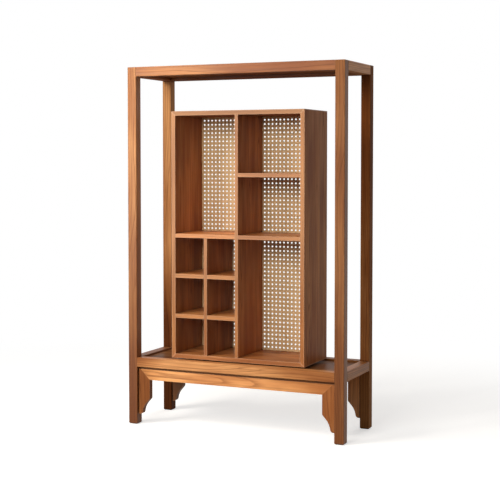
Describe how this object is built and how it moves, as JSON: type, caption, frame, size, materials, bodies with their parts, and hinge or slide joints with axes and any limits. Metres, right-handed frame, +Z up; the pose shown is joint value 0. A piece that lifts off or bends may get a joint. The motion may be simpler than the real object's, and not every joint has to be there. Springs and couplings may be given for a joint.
{
  "type": "free-standing display stand",
  "caption": "Tall open post-and-rail stand on an aproned base with carved spandrels, holding a cabinet of open compartments with a woven cane back.",
  "frame": {"origin": "on the floor, at the centre of the stand's footprint", "axes": "+Z up, front towards -Y, +X to the right as seen from the front"},
  "size_m": [1.027, 0.37, 1.6],
  "materials": {
    "frame_wood": "stained ash, satin lacquer, grain along each piece",
    "cabinet_wood": "stained ash, satin lacquer, grain along each board",
    "panel_wood": "stained ash, glossier lacquer",
    "hidden_wood": "stained ash, matt",
    "cane": "woven natural cane, satin",
    "dowel_wood": "plain beech",
    "steel": "zinc-plated"
  },
  "bodies": {
    "root": {"post_front_left": "frame_wood", "post_front_right": "frame_wood", "post_back_left": "frame_wood", "post_back_right": "frame_wood", "top_rail_front": "frame_wood", "top_rail_back": "frame_wood", "top_rail_left": "frame_wood", "top_rail_right": "frame_wood", "base_rail_front": "frame_wood", "base_rail_back": "frame_wood", "base_rail_left": "frame_wood", "base_rail_right": "frame_wood", "top_panel": "panel_wood", "base_panel": "panel_wood", "base_batten_left": "hidden_wood", "base_batten_right": "hidden_wood", "apron_front": "frame_wood", "apron_back": "frame_wood", "spandrel_front_left": "frame_wood", "spandrel_front_right": "frame_wood", "spandrel_back_left": "frame_wood", "spandrel_back_right": "frame_wood", "cabinet_side_left": "cabinet_wood", "cabinet_side_right": "cabinet_wood", "cabinet_top": "cabinet_wood", "cabinet_bottom": "cabinet_wood", "main_divider": "cabinet_wood", "left_shelf": "cabinet_wood", "right_lower_shelf": "cabinet_wood", "right_upper_shelf": "cabinet_wood", "cubby_divider": "cabinet_wood", "cubby_shelf_lower": "cabinet_wood", "cubby_shelf_upper": "cabinet_wood", "cane_panel": "cane", "cane_strip_top": "hidden_wood", "cane_strip_bottom": "hidden_wood", "cane_strip_left": "hidden_wood", "cane_strip_right": "hidden_wood", "cabinet_bearer_left": "hidden_wood", "cabinet_bearer_right": "hidden_wood", "cabinet_screws": "steel", "carcass_dowels": "dowel_wood", "strip_brads": "steel"}
  },
  "joints": []
}
